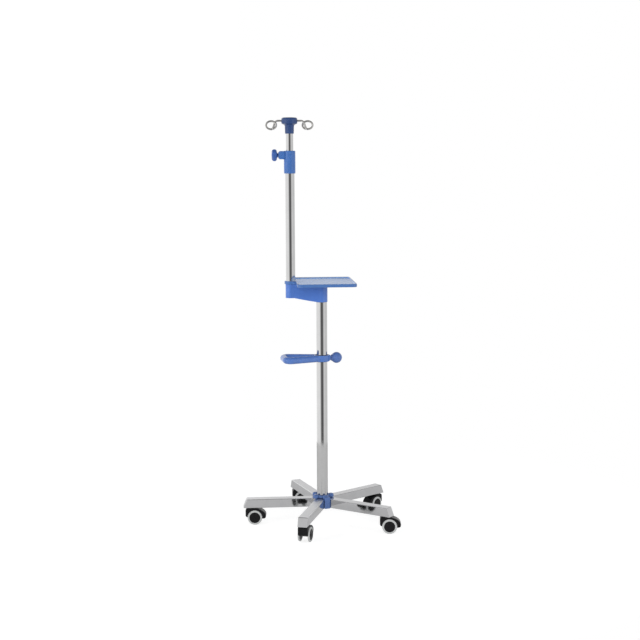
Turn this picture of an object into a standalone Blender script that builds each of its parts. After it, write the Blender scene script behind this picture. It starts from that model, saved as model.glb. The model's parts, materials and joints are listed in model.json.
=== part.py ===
"""A roll-about drip stand: a five-legged base on twin-wheel casters, a lower tube with a push
handle, a tray bracket that carries an offset upper tube, and a telescopic rod with two bag hooks.

Metres, +Z up, the floor at z = 0. The mast is offset to -X of the lower tube.
"""

from math import atan2, cos, degrees, pi, radians, sin

import bmesh
import bpy
from mathutils import Matrix

# Clearance left between pieces that touch.
GAP = 0.0003

# The lower tube's axis, set so that the footprint is centred on the origin.
POLE_X = 0.0095
POLE_Y = 0.0

# Tubes.
LOWER_RADIUS = 0.019
UPPER_RADIUS = 0.016
ROD_RADIUS = 0.0125
TUBE_WALL = 0.002
ROD_WALL = 0.0015
MAST_X = -0.104
SPIGOT_LENGTH = 0.040

# Base.
LEG_ANGLES = [180, 252, 324, 36, 108]
LEG_LOW = 0.058
LEG_TOP = 0.088
LEG_WIDTH = 0.033
LEG_TIP_LOW = 0.2745
LEG_TIP_TOP = 0.262
HUB_RADIUS = 0.0286
BOLT_RADIUS = 0.005
BOLT_HEAD_RADIUS = 0.0085
BOLT_HEAD_HEIGHT = 0.0065
PLUG_HEIGHT = 0.022
COVER_RADIUS = 0.0255
COVER_TOP = 0.0975
LOBE_TOP = 0.101
LOBE_CIRCLE = 0.0285
LOBE_RADIUS = 0.0104
POST_ANGLE = 288
POST_SIDE = [(0.0312, 0.0015), (0.0440, 0.0110), (0.0462, 0.0098), (0.0470, 0.0060)]
POST_LOW = 0.0575

# Casters. Trail angles are the directions in which the wheels lie behind their stems.
STEM_CIRCLE = 0.247
TRAIL_ANGLES = [356, 70, 355, 226, 2]
STEM_RADIUS = 0.005
STEM_LOW = 0.038
STEM_TOP = 0.080
FLANGE_RADIUS = 0.010
TRAIL = 0.0145
WHEEL_RADIUS = 0.025
WHEEL_CORE = 0.0185
WHEEL_INNER_Y = 0.0145
WHEEL_OUTER_Y = 0.0210
AXLE_RADIUS = 0.003
AXLE_HALF_LENGTH = 0.0185
HOOD_WEB = 0.028
HOOD_WIDTH = 0.034
HOOD_FRONT = -0.0175
HOOD_REAR = 0.053
HOOD_TOP = 0.0555
HOOD_SIDE_LOW = 0.030
POCKET_RADIUS = 0.0265

# Bracket and tray. The ramp is the slope under the bracket, between its two bosses.
BRACKET_TOP = 0.8253
BRACKET_LOW_RIGHT = 0.7643
BRACKET_LOW_LEFT = 0.7789
BRACKET_RIGHT_RADIUS = 0.0205
BRACKET_LEFT_RADIUS = 0.0172
RAMP_RIGHT = -0.026
RAMP_LEFT = -0.082
TRAY_TOP = 0.836
TRAY_LEFT = -0.088
TRAY_RIGHT = 0.108
TRAY_HALF_DEPTH = 0.145
TRAY_CORNER = 0.016
TRAY_WALL = 0.004
TRAY_FLOOR_TOP = 0.8325
TONGUE_RADIUS = 0.0205

# Height lock, rod and hooks.
COLLAR_LOW = 1.195
COLLAR_TOP = 1.270
COLLAR_RADIUS = 0.01925
COLLAR_SEAT = 1.2475
LOCK_Z = 1.2556
ARM_REACH = 0.038
ARM_HALF_HEIGHT = 0.0135
ARM_HALF_WIDTH = 0.013
LOCK_SCREW_RADIUS = 0.004
LOCK_SCREW_END = 0.054
LOCK_NECK = 0.0385
LOCK_FACE = 0.0600
ROD_LOW = 0.942
ROD_TOP = 1.365
GUIDE_LOW = 0.922
GUIDE_TOP = 0.967
HEAD_LOW = 1.3262
HEAD_TOP = 1.379
HEAD_RADIUS = 0.0267
HOOK_Z = 1.3685
HOOK_WIRE = 0.0033
HOOK_START = 0.0167
LOOP_X = 0.0606
LOOP_Z = 1.3542
LOOP_ACROSS = 0.0166
LOOP_HEIGHT = 0.0131

# Push handle. It points away from the tray, turned a little towards the front.
HANDLE_Z = 0.572
HANDLE_ANGLE = 187.5
HANDLE_BAR = 0.0115
HANDLE_REACH = 0.1270
HANDLE_HALF_WIDTH = 0.040
CLAMP_RADIUS = 0.0262
CLAMP_HALF_HEIGHT = 0.0108
LINER_RADIUS = 0.0207
LINER_HALF_HEIGHT = 0.0122
HANDLE_SCREW_RADIUS = 0.0035
HANDLE_SCREW_END = 0.050
HANDLE_BOSS_END = 0.0305
BALL_RADIUS = 0.0190
BALL_NECK = 0.0315
BALL_CENTRE = 0.0510

# Facets round a full turn.
ROUND = 24
SMALL_ROUND = 12
MIDDLE_ROUND = 20


# Scene and materials


def clear_scene():
    for obj in list(bpy.data.objects):
        bpy.data.objects.remove(obj)


def new_collection(name):
    collection = bpy.data.collections.new(name)
    bpy.context.scene.collection.children.link(collection)
    return collection


clear_scene()
parts = new_collection("drip_stand")
cutters = new_collection("drip_stand_cutters")
cutters.hide_render = True


def new_material(name, colour, roughness, metallic=0.0):
    material = bpy.data.materials.new(name)
    material.use_nodes = True
    shader = material.node_tree.nodes["Principled BSDF"]
    shader.inputs["Base Color"].default_value = (*colour, 1.0)
    shader.inputs["Roughness"].default_value = roughness
    shader.inputs["Metallic"].default_value = metallic
    return material


BLUE = (0.055, 0.155, 0.46)
CHROME = (0.80, 0.80, 0.79)
ALUMINIUM = (0.72, 0.72, 0.71)
STEEL = (0.45, 0.45, 0.46)
BLACK = (0.012, 0.012, 0.013)
TREAD = (0.52, 0.53, 0.52)
WHITE = (0.75, 0.75, 0.72)


# Modelling


def new_object(name, data):
    obj = bpy.data.objects.new(name, data)
    parts.objects.link(obj)
    return obj


def as_mesh(obj):
    """The object's evaluated shape as a welded mesh, in place of its curve or modifiers."""
    bpy.context.view_layer.update()
    graph = bpy.context.evaluated_depsgraph_get()
    mesh = bpy.data.meshes.new_from_object(obj.evaluated_get(graph))
    work = bmesh.new()
    work.from_mesh(mesh)
    bmesh.ops.remove_doubles(work, verts=work.verts, dist=1e-6)
    work.to_mesh(mesh)
    work.free()
    solid = new_object(obj.name + "_mesh", mesh)
    solid.matrix_world = obj.matrix_world
    name = obj.name
    bpy.data.objects.remove(obj)
    solid.name = name
    return solid


def turned(name, profile, steps=ROUND, ring=False):
    """A turned solid about Z from (radius, z) points, listed down its outer side."""
    points = [(radius, 0.0, z) for radius, z in profile]
    edges = [(i, i + 1) for i in range(len(points) - 1)]
    if ring:
        edges.append((len(points) - 1, 0))
    mesh = bpy.data.meshes.new(name)
    mesh.from_pydata(points, edges, [])
    obj = new_object(name, mesh)
    screw = obj.modifiers.new("Screw", "SCREW")
    screw.axis = "Z"
    screw.steps = steps
    screw.render_steps = steps
    screw.use_merge_vertices = True
    screw.merge_threshold = 0.0001
    return obj


def cylinder(name, radius, low, high, steps=ROUND):
    return turned(name, [(0, high), (radius, high), (radius, low), (0, low)], steps)


def pipe(name, outer, inner, low, high, steps=ROUND):
    profile = [(outer, high), (outer, low), (inner, low), (inner, high)]
    return turned(name, profile, steps, ring=True)


def arc(centre, radius, start, end, steps):
    """Points along an arc in degrees; radius may be a pair for an ellipse."""
    across, along = radius if isinstance(radius, tuple) else (radius, radius)
    turns = [radians(start + (end - start) * i / steps) for i in range(steps + 1)]
    return [(centre[0] + across * cos(t), centre[1] + along * sin(t)) for t in turns]


def rounded_rectangle(left, right, half_depth, corner):
    x, y = right - corner, half_depth - corner
    back = arc((x, y), corner, 0, 90, 4) + arc((left + corner, y), corner, 90, 180, 4)
    front = arc((left + corner, -y), corner, 180, 270, 4) + arc((x, -y), corner, 270, 360, 4)
    return back + front


def prism(name, outline, low, high):
    """A flat outline in XY, extruded from low to high."""
    curve = bpy.data.curves.new(name, "CURVE")
    curve.dimensions = "2D"
    curve.fill_mode = "BOTH"
    curve.extrude = (high - low) / 2
    spline = curve.splines.new("POLY")
    spline.points.add(len(outline) - 1)
    for point, (x, y) in zip(spline.points, outline):
        point.co = (x, y, 0.0, 1.0)
    spline.use_cyclic_u = True
    solid = as_mesh(new_object(name, curve))
    solid.data.transform(Matrix.Translation((0, 0, (low + high) / 2)))
    return solid


def side_prism(name, outline, half_width):
    """A flat outline in XZ, extruded to both sides along Y."""
    solid = prism(name, outline, -half_width, half_width)
    solid.data.transform(Matrix.Rotation(pi / 2, 4, "X"))
    return solid


def bar(name, path, radius, resolution=2):
    """A round bar along a list of points."""
    curve = bpy.data.curves.new(name, "CURVE")
    curve.dimensions = "3D"
    curve.bevel_depth = radius
    curve.bevel_resolution = resolution
    curve.use_fill_caps = True
    spline = curve.splines.new("POLY")
    spline.points.add(len(path) - 1)
    for point, place in zip(spline.points, path):
        point.co = (*place, 1.0)
    return as_mesh(new_object(name, curve))


def bevel(obj, width, segments=2):
    modifier = obj.modifiers.new("Bevel", "BEVEL")
    modifier.width = width
    modifier.segments = segments
    modifier.limit_method = "ANGLE"
    modifier.angle_limit = radians(40)
    return obj


def turn_axis(obj, axis):
    """Lays a part that was turned about Z along X or Y instead."""
    about, angle = ("Y", pi / 2) if axis == "X" else ("X", -pi / 2)
    solid = as_mesh(obj)
    solid.data.transform(Matrix.Rotation(angle, 4, about))
    return solid


def move(obj, x=0.0, y=0.0, z=0.0):
    """Moves the shape inside its object, whose origin stays on the joint's axis."""
    solid = as_mesh(obj)
    solid.data.transform(Matrix.Translation((x, y, z)))
    return solid


def boolean(obj, other, operation):
    if other.name not in cutters.objects:
        parts.objects.unlink(other)
        cutters.objects.link(other)
        other.hide_render = True
        other.display_type = "WIRE"
    modifier = obj.modifiers.new(operation.title(), "BOOLEAN")
    modifier.operation = operation
    modifier.solver = "EXACT"
    modifier.object = other


def cut(obj, *others):
    for other in others:
        boolean(obj, other, "DIFFERENCE")


def join(obj, *others):
    for other in others:
        boolean(obj, other, "UNION")


def finish(obj, material, parent=None, smooth=35):
    """Bakes the modifiers, shades the round faces smooth, and hangs the part on its parent."""
    solid = as_mesh(obj)
    solid.data.materials.clear()
    solid.data.materials.append(material)
    solid.data.shade_smooth()
    solid.data.set_sharp_from_angle(angle=radians(smooth))
    if parent:
        solid.parent = parent
    return solid


def empty(name, parent, location, turn=0.0):
    obj = bpy.data.objects.new(name, None)
    obj.empty_display_size = 0.03
    obj.location = location
    obj.rotation_euler.z = radians(turn)
    obj.parent = parent
    parts.objects.link(obj)
    return obj


# Materials

blue_plastic = new_material("blue_plastic", BLUE, 0.30)
chrome = new_material("chrome_tube", CHROME, 0.12, 1.0)
polished = new_material("polished_aluminium", ALUMINIUM, 0.22, 1.0)
steel = new_material("steel", STEEL, 0.35, 1.0)
wire = new_material("hook_wire", CHROME, 0.15, 1.0)
black_plastic = new_material("black_plastic", BLACK, 0.25)
tread_rubber = new_material("tread_rubber", TREAD, 0.60)
white_plastic = new_material("white_plastic", WHITE, 0.50)

pole = empty("pole_axis", None, (POLE_X, POLE_Y, 0))
mast = empty("mast_axis", pole, (MAST_X, 0, 0))


# Base


def round_the_pole(name, radius, circle, low, high, angles):
    """One cutter of equal upright cylinders, on a circle about the pole."""
    work = bmesh.new()
    for angle in angles:
        x, y = circle * cos(radians(angle)), circle * sin(radians(angle))
        place = Matrix.Translation((x, y, (low + high) / 2))
        bmesh.ops.create_cone(
            work,
            cap_ends=True,
            segments=SMALL_ROUND,
            radius1=radius,
            radius2=radius,
            depth=high - low,
            matrix=place,
        )
    mesh = bpy.data.meshes.new(name)
    work.to_mesh(mesh)
    work.free()
    return new_object(name, mesh)


def make_hub():
    hub = cylinder("base_hub", HUB_RADIUS, LEG_LOW, LEG_TOP)
    cut(hub, cylinder("hub_bore", BOLT_RADIUS + GAP, 0.04, 0.10, SMALL_ROUND))
    finish(hub, polished, pole)

    plug_radius = LOWER_RADIUS - TUBE_WALL - GAP
    low = LEG_TOP + GAP
    plug = pipe("tube_plug", plug_radius, BOLT_RADIUS + GAP, low, low + PLUG_HEIGHT)
    finish(plug, steel, pole)

    bolt_top = low + PLUG_HEIGHT - 0.004
    head_top = LEG_LOW - GAP
    head_low = head_top - BOLT_HEAD_HEIGHT
    profile = [
        (0, bolt_top),
        (BOLT_RADIUS, bolt_top),
        (BOLT_RADIUS, head_top),
        (BOLT_HEAD_RADIUS, head_top),
        (BOLT_HEAD_RADIUS, head_low + 0.001),
        (BOLT_HEAD_RADIUS - 0.001, head_low),
        (0, head_low),
    ]
    finish(turned("hub_bolt", profile, SMALL_ROUND), steel, pole)


def make_leg(number, angle, hub_room):
    outline = [
        (0.020, LEG_LOW),
        (LEG_TIP_LOW, LEG_LOW),
        (LEG_TIP_TOP, LEG_TOP),
        (0.020, LEG_TOP),
    ]
    leg = bevel(side_prism(f"leg_{number}", outline, LEG_WIDTH / 2), 0.003)
    bore_top = STEM_TOP + GAP
    bore = cylinder(f"leg_{number}_bore", STEM_RADIUS + GAP, 0.04, bore_top, SMALL_ROUND)
    bore = move(bore, x=STEM_CIRCLE)
    cut(leg, bore)
    leg = as_mesh(leg)
    leg.data.transform(Matrix.Rotation(radians(angle), 4, "Z"))
    cut(leg, hub_room)
    finish(leg, polished, pole)


def make_cover(angles):
    low = LEG_TOP + GAP
    cover = cylinder("hub_cover", COVER_RADIUS, low, COVER_TOP)
    caps = round_the_pole("cover_lobes", LOBE_RADIUS, LOBE_CIRCLE, low, LOBE_TOP, angles)
    outline = [(x, -y) for x, y in POST_SIDE] + POST_SIDE[::-1]
    post = bevel(prism("cover_post", outline, POST_LOW, COVER_TOP), 0.0015, 1)
    post = as_mesh(post)
    post.data.transform(Matrix.Rotation(radians(POST_ANGLE), 4, "Z"))
    join(cover, bevel(caps, 0.002, 1), post)
    cut(cover, cylinder("cover_bore", LOWER_RADIUS + GAP, 0.04, 0.12))
    cut(cover, cylinder("cover_hub_room", HUB_RADIUS + GAP, 0.04, low))
    finish(cover, blue_plastic, pole)


def make_base():
    between = [angle + 36 for angle in LEG_ANGLES]
    hub_room = cylinder("hub_room", HUB_RADIUS + GAP, 0.03, 0.12)
    make_hub()
    for number, angle in enumerate(LEG_ANGLES, 1):
        make_leg(number, angle, hub_room)
    make_cover(between)


# Casters


def hood_outline():
    """The hood from the side: upright at the stem, arched over the wheels, an eye for the axle."""
    corner, crown_x, eye = 0.0065, 0.012, 0.0085
    front = [(HOOD_FRONT, HOOD_SIDE_LOW)]
    front += arc((HOOD_FRONT + corner, HOOD_TOP - corner), corner, 180, 90, 3)
    sweep = (HOOD_REAR - crown_x, HOOD_TOP - HOOD_SIDE_LOW)
    crown = arc((crown_x, HOOD_SIDE_LOW), sweep, 90, 0, 7)
    tail = [
        (HOOD_REAR - 0.001, HOOD_SIDE_LOW - 0.0063),
        (HOOD_REAR - 0.004, HOOD_SIDE_LOW - 0.0085),
        (HOOD_REAR - 0.008, HOOD_SIDE_LOW - 0.0090),
    ]
    under = arc((TRAIL, WHEEL_RADIUS), eye, 300, 240, 3)
    return front + crown + tail + under + [(HOOD_FRONT + 0.003, HOOD_SIDE_LOW - 0.0035)]


def make_hood(name, swivel):
    hood = bevel(side_prism(name, hood_outline(), HOOD_WIDTH / 2), 0.0015, 1)
    half = HOOD_WEB / 2
    for side, (low, high) in {"a": (half, 0.03), "b": (-0.03, -half)}.items():
        pocket = cylinder(f"{name}_pocket_{side}", POCKET_RADIUS, low, high, MIDDLE_ROUND)
        cut(hood, move(turn_axis(pocket, "Y"), x=TRAIL, z=WHEEL_RADIUS))
    bore_low = STEM_LOW - GAP
    cut(hood, cylinder(f"{name}_stem_bore", STEM_RADIUS + GAP, bore_low, 0.07, SMALL_ROUND))
    axle_bore = cylinder(f"{name}_axle_bore", AXLE_RADIUS + GAP, -0.02, 0.02, SMALL_ROUND)
    cut(hood, move(turn_axis(axle_bore, "Y"), x=TRAIL, z=WHEEL_RADIUS))
    finish(hood, black_plastic, swivel)


def make_stem(name, swivel):
    flange_low, flange_top = HOOD_TOP + GAP, LEG_LOW - GAP
    profile = [
        (0, STEM_TOP),
        (STEM_RADIUS, STEM_TOP),
        (STEM_RADIUS, flange_top),
        (FLANGE_RADIUS, flange_top),
        (FLANGE_RADIUS, flange_low),
        (STEM_RADIUS, flange_low),
        (STEM_RADIUS, STEM_LOW),
        (0, STEM_LOW),
    ]
    finish(turned(name, profile, SMALL_ROUND), steel, swivel)


def make_wheel(caster, side, axle):
    """A wheel with its bore open towards the web and a domed outer face, in a separate tyre."""
    bore, inner, outer = AXLE_RADIUS + GAP, WHEEL_INNER_Y, WHEEL_OUTER_Y
    bore_end = AXLE_HALF_LENGTH + GAP
    hub = [
        (0, outer + 0.001),
        (WHEEL_CORE - 0.004, outer),
        (WHEEL_CORE, outer - 0.002),
        (WHEEL_CORE, inner),
        (bore, inner),
        (bore, bore_end),
        (0, bore_end),
    ]
    # The tyre's facets, and not its corners, lie at the wheel's radius, and one lies on the floor.
    half_facet = pi / MIDDLE_ROUND
    seat, tread = WHEEL_CORE + GAP, WHEEL_RADIUS / cos(half_facet)
    tyre = [
        (seat, outer - 0.001),
        (tread - 0.0015, outer - 0.001),
        (tread, outer - 0.004),
        (tread, inner),
        (seat, inner),
    ]
    for kind, profile, ring, look in (
        ("wheel", hub, False, black_plastic),
        ("tyre", tyre, True, tread_rubber),
    ):
        piece = turned(f"{caster}_{kind}_{side}", profile, MIDDLE_ROUND, ring)
        piece = turn_axis(piece, "Y")
        piece.data.transform(Matrix.Rotation(half_facet, 4, "Y"))
        if side == "b":
            piece.data.transform(Matrix.Rotation(pi, 4, "Z"))
        finish(piece, look, axle)


def make_caster(number, leg_angle, trail_angle):
    name = f"caster_{number}"
    x, y = STEM_CIRCLE * cos(radians(leg_angle)), STEM_CIRCLE * sin(radians(leg_angle))
    swivel = empty(f"{name}_swivel_axis", pole, (x, y, 0), trail_angle)
    axle = empty(f"{name}_axle_axis", swivel, (TRAIL, 0, WHEEL_RADIUS))
    make_stem(f"{name}_stem", swivel)
    make_hood(f"{name}_hood", swivel)
    pin = cylinder(f"{name}_axle", AXLE_RADIUS, -AXLE_HALF_LENGTH, AXLE_HALF_LENGTH, SMALL_ROUND)
    finish(turn_axis(pin, "Y"), steel, axle)
    for side in "ab":
        make_wheel(name, side, axle)


# Lower tube and push handle


def make_lower_tube():
    low, high = LEG_TOP + GAP, BRACKET_LOW_RIGHT - GAP
    tube = pipe("lower_tube", LOWER_RADIUS, LOWER_RADIUS - TUBE_WALL, low, high)
    finish(tube, chrome, pole)


def handle_path():
    """Half of the loop runs out from the clamp to the outer bar's middle; the rest mirrors it."""
    corner, lean = 0.016, 12
    centre = (HANDLE_REACH - corner, HANDLE_HALF_WIDTH - corner)
    half = [(0.016, 0.013), (0.026, 0.0165)]
    half += arc(centre, corner, 90 + lean, 0, 4)
    near = [(x, y, 0.0) for x, y in half]
    return [(x, -y, z) for x, y, z in near] + list(reversed(near))


def make_handle():
    grip = empty("handle_axis", pole, (0, 0, HANDLE_Z), HANDLE_ANGLE)
    liner_inner = LOWER_RADIUS + GAP
    liner = pipe("handle_liner", LINER_RADIUS, liner_inner, -LINER_HALF_HEIGHT, LINER_HALF_HEIGHT)
    finish(liner, black_plastic, grip)

    clamp = cylinder("handle_clamp", CLAMP_RADIUS, -CLAMP_HALF_HEIGHT, CLAMP_HALF_HEIGHT)
    clamp = bevel(as_mesh(clamp), 0.002, 1)
    loop = bar("handle", handle_path(), HANDLE_BAR, 3)
    end, wide, root = HANDLE_BOSS_END, 0.0118, 0.016
    boss_profile = [(0, end), (0.006, end), (wide, end - 0.006), (wide, root), (0, root)]
    boss = turned("handle_boss", boss_profile, MIDDLE_ROUND)
    boss = turn_axis(boss, "X")
    boss.data.transform(Matrix.Rotation(pi, 4, "Z"))
    join(loop, clamp, boss)
    cut(loop, cylinder("handle_bore", LINER_RADIUS + GAP, -0.03, 0.03))
    screw_room = cylinder("handle_screw_room", HANDLE_SCREW_RADIUS + GAP, -0.04, -0.01, MIDDLE_ROUND)
    cut(loop, turn_axis(screw_room, "X"))
    finish(loop, blue_plastic, grip)

    tip = -LINER_RADIUS - GAP
    screw = cylinder("handle_screw", HANDLE_SCREW_RADIUS, -HANDLE_SCREW_END, tip, SMALL_ROUND)
    finish(turn_axis(screw, "X"), steel, grip)

    # The ball's profile runs from its crown to the neck, then up the bore round the screw.
    ball = (BALL_RADIUS, BALL_RADIUS + 0.0005)
    crown = arc((0, BALL_CENTRE), ball, 90, -45, 8)
    bore, seat = HANDLE_SCREW_RADIUS + GAP, HANDLE_SCREW_END + GAP
    neck = [(0.011, BALL_NECK + 0.0015), (0.009, BALL_NECK), (bore, BALL_NECK)]
    profile = crown + neck + [(bore, seat), (0, seat)]
    knob = turn_axis(turned("handle_knob", profile, MIDDLE_ROUND), "X")
    knob.data.transform(Matrix.Rotation(pi, 4, "Z"))
    finish(knob, blue_plastic, grip)


# Bracket, tray and upper tube


def bracket_outline():
    """Two round ends joined by straight sides that touch both."""
    right, left = BRACKET_RIGHT_RADIUS, BRACKET_LEFT_RADIUS
    lean = degrees(atan2(right - left, -MAST_X))
    right_end = arc((0, 0), right, -90 - lean, 90 + lean, 12)
    return right_end + arc((MAST_X, 0), left, 90 + lean, 270 - lean, 12)


def make_bracket():
    bracket = prism("bracket", bracket_outline(), BRACKET_LOW_RIGHT, BRACKET_TOP)
    # The slope's cutter runs on below the flat foot, so that its edge lies on no face.
    beyond, below, run_on = -0.14, 0.74, 0.014
    slope = (BRACKET_LOW_LEFT - BRACKET_LOW_RIGHT) / (RAMP_RIGHT - RAMP_LEFT)
    ramp = [
        (beyond, below),
        (RAMP_RIGHT + run_on, below),
        (RAMP_RIGHT + run_on, BRACKET_LOW_RIGHT - slope * run_on),
        (RAMP_LEFT, BRACKET_LOW_LEFT),
        (beyond, BRACKET_LOW_LEFT),
    ]
    cut(bracket, side_prism("bracket_ramp", ramp, 0.05))
    bevel(bracket, 0.0012, 1)
    lower = cylinder(
        "lower_spigot",
        LOWER_RADIUS - TUBE_WALL - GAP,
        BRACKET_LOW_RIGHT - SPIGOT_LENGTH,
        BRACKET_LOW_RIGHT + 0.002,
    )
    upper = cylinder(
        "upper_spigot",
        UPPER_RADIUS - TUBE_WALL - GAP,
        BRACKET_TOP - 0.002,
        BRACKET_TOP + SPIGOT_LENGTH,
    )
    join(bracket, lower, move(upper, x=MAST_X))
    finish(bracket, blue_plastic, pole)


def make_tray():
    low = BRACKET_TOP + GAP
    edge = rounded_rectangle(TRAY_LEFT, TRAY_RIGHT, TRAY_HALF_DEPTH, TRAY_CORNER)
    tray = bevel(prism("tray", edge, low, TRAY_TOP), 0.0015, 1)
    round_end = arc((MAST_X, 0), TONGUE_RADIUS, 90, 270, 12)
    tongue_end = TRAY_LEFT + TRAY_WALL / 2
    tongue = round_end + [(tongue_end, -TONGUE_RADIUS), (tongue_end, TONGUE_RADIUS)]
    join(tray, bevel(prism("tray_tongue", tongue, low, TRAY_TOP), 0.0015, 1))
    left, right = TRAY_LEFT + TRAY_WALL, TRAY_RIGHT - TRAY_WALL
    recess = rounded_rectangle(left, right, TRAY_HALF_DEPTH - TRAY_WALL, TRAY_CORNER - TRAY_WALL)
    cut(tray, prism("tray_recess", recess, TRAY_FLOOR_TOP, TRAY_TOP + 0.01))
    mast_hole = cylinder("tray_mast_hole", UPPER_RADIUS + GAP, low - 0.01, TRAY_TOP + 0.01)
    cut(tray, move(mast_hole, x=MAST_X))
    finish(tray, blue_plastic, pole)


def make_upper_tube():
    low, high = BRACKET_TOP + GAP, COLLAR_SEAT - GAP
    tube = pipe("upper_tube", UPPER_RADIUS, UPPER_RADIUS - TUBE_WALL, low, high)
    finish(tube, chrome, mast)


# Height lock


def make_collar():
    collar = cylinder("lock_collar", COLLAR_RADIUS, COLLAR_LOW, COLLAR_TOP)
    collar = bevel(as_mesh(collar), 0.0015, 1)
    low, high = LOCK_Z - ARM_HALF_HEIGHT, LOCK_Z + ARM_HALF_HEIGHT
    nose = 0.004
    outline = [
        (-0.010, low),
        (-0.010, high),
        (-ARM_REACH + nose, high),
        (-ARM_REACH, high - nose),
        (-ARM_REACH, low + nose),
        (-ARM_REACH + nose, low),
    ]
    join(collar, bevel(side_prism("lock_arm", outline, ARM_HALF_WIDTH), 0.002, 1))
    cut(collar, cylinder("collar_tube_room", UPPER_RADIUS + GAP, COLLAR_LOW - 0.01, COLLAR_SEAT))
    low, high = COLLAR_SEAT - 0.01, COLLAR_TOP + 0.01
    cut(collar, cylinder("collar_rod_room", ROD_RADIUS + GAP, low, high, MIDDLE_ROUND))
    room = cylinder("collar_screw_room", LOCK_SCREW_RADIUS + GAP, -0.05, -0.008, SMALL_ROUND)
    cut(collar, move(turn_axis(room, "X"), z=LOCK_Z))
    finish(collar, blue_plastic, mast)


def make_lock_knob():
    axis = empty("lock_knob_axis", mast, (0, 0, LOCK_Z))
    tip = -ROD_RADIUS - GAP
    screw = cylinder("lock_screw", LOCK_SCREW_RADIUS, -LOCK_SCREW_END, tip, SMALL_ROUND)
    finish(turn_axis(screw, "X"), steel, axis)
    bore, seat, face = LOCK_SCREW_RADIUS + GAP, LOCK_SCREW_END + GAP, LOCK_FACE
    profile = [
        (0, face),
        (0.0110, face - 0.0006),
        (0.0170, face - 0.0022),
        (0.0192, face - 0.0052),
        (0.0198, face - 0.0090),
        (0.0192, face - 0.0135),
        (0.0168, face - 0.0172),
        (0.0100, face - 0.0190),
        (0.0068, face - 0.0205),
        (0.0066, LOCK_NECK),
        (bore, LOCK_NECK),
        (bore, seat),
        (0, seat),
    ]
    knob = turn_axis(turned("lock_knob", profile, MIDDLE_ROUND), "X")
    knob.data.transform(Matrix.Rotation(pi, 4, "Z"))
    finish(knob, blue_plastic, axis)


# Rod, head and hooks


def make_rod():
    rod = pipe("extension_rod", ROD_RADIUS, ROD_RADIUS - ROD_WALL, ROD_LOW, ROD_TOP, MIDDLE_ROUND)
    finish(rod, chrome, mast)
    guide_radius = UPPER_RADIUS - TUBE_WALL - GAP
    plug_radius = ROD_RADIUS - ROD_WALL - GAP
    profile = [
        (0, GUIDE_TOP),
        (plug_radius, GUIDE_TOP),
        (plug_radius, ROD_LOW - GAP),
        (guide_radius, ROD_LOW - GAP),
        (guide_radius, GUIDE_LOW),
        (0, GUIDE_LOW),
    ]
    finish(turned("rod_guide", profile, MIDDLE_ROUND), white_plastic, mast)


def make_head():
    bore, wide, top = ROD_RADIUS + GAP, HEAD_RADIUS, HEAD_TOP
    profile = [
        (0, top),
        (wide - 0.0045, top),
        (wide - 0.0010, top - 0.0025),
        (wide, top - 0.0060),
        (wide, top - 0.0170),
        (wide - 0.0015, top - 0.0205),
        (0.0165, top - 0.0250),
        (0.0152, top - 0.0290),
        (0.0146, HEAD_LOW + 0.0015),
        (0.0140, HEAD_LOW),
        (bore, HEAD_LOW),
        (bore, ROD_TOP + GAP),
        (0, ROD_TOP + GAP),
    ]
    head = turned("hook_head", profile, MIDDLE_ROUND)
    for side in (1, -1):
        low, high = sorted((side * (HOOK_START - GAP), side * 0.035))
        room = cylinder(f"hook_room_{side}", HOOK_WIRE + GAP, low, high, SMALL_ROUND)
        cut(head, move(turn_axis(room, "X"), z=HOOK_Z))
    finish(head, blue_plastic, mast)


def hook_path():
    """A pigtail: straight out of the head, a dip at the front, then once round behind the dip."""
    path = [(HOOK_START, 0.0, HOOK_Z), (0.031, 0.0, HOOK_Z), (0.0385, -0.0010, HOOK_Z)]
    path += [(0.0424, -0.0022, HOOK_Z - 0.0010), (0.0461, -0.0034, HOOK_Z - 0.0037)]
    path += [(0.0492, -0.0043, HOOK_Z - 0.0082), (0.0511, -0.0049, HOOK_Z - 0.0137)]
    path += [(0.0530, -0.0054, HOOK_Z - 0.0195), (0.0555, -0.0058, HOOK_Z - 0.0245)]
    first, last, steps, lead = 262, 605, 21, 0.0132
    loop = arc((LOOP_X, LOOP_Z), (LOOP_ACROSS, LOOP_HEIGHT), first, last, steps)
    for i, (x, z) in enumerate(loop):
        path.append((x, -0.0060 + lead * i / steps, z))
    return path


def make_hooks():
    for name, turn in (("hook_right", 0), ("hook_left", 180)):
        hook = bar(name, hook_path(), HOOK_WIRE, 2)
        hook.data.transform(Matrix.Rotation(radians(turn), 4, "Z"))
        finish(hook, wire, mast)


make_base()
for number, (leg_angle, trail_angle) in enumerate(zip(LEG_ANGLES, TRAIL_ANGLES), 1):
    make_caster(number, leg_angle, trail_angle)
make_lower_tube()
make_handle()
make_bracket()
make_tray()
make_upper_tube()
make_collar()
make_lock_knob()
make_rod()
make_head()
make_hooks()
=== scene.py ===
import json
from math import atan2, cos, pi, radians, sin, tau

import bmesh
import bpy
from mathutils import Matrix, Vector


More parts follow.
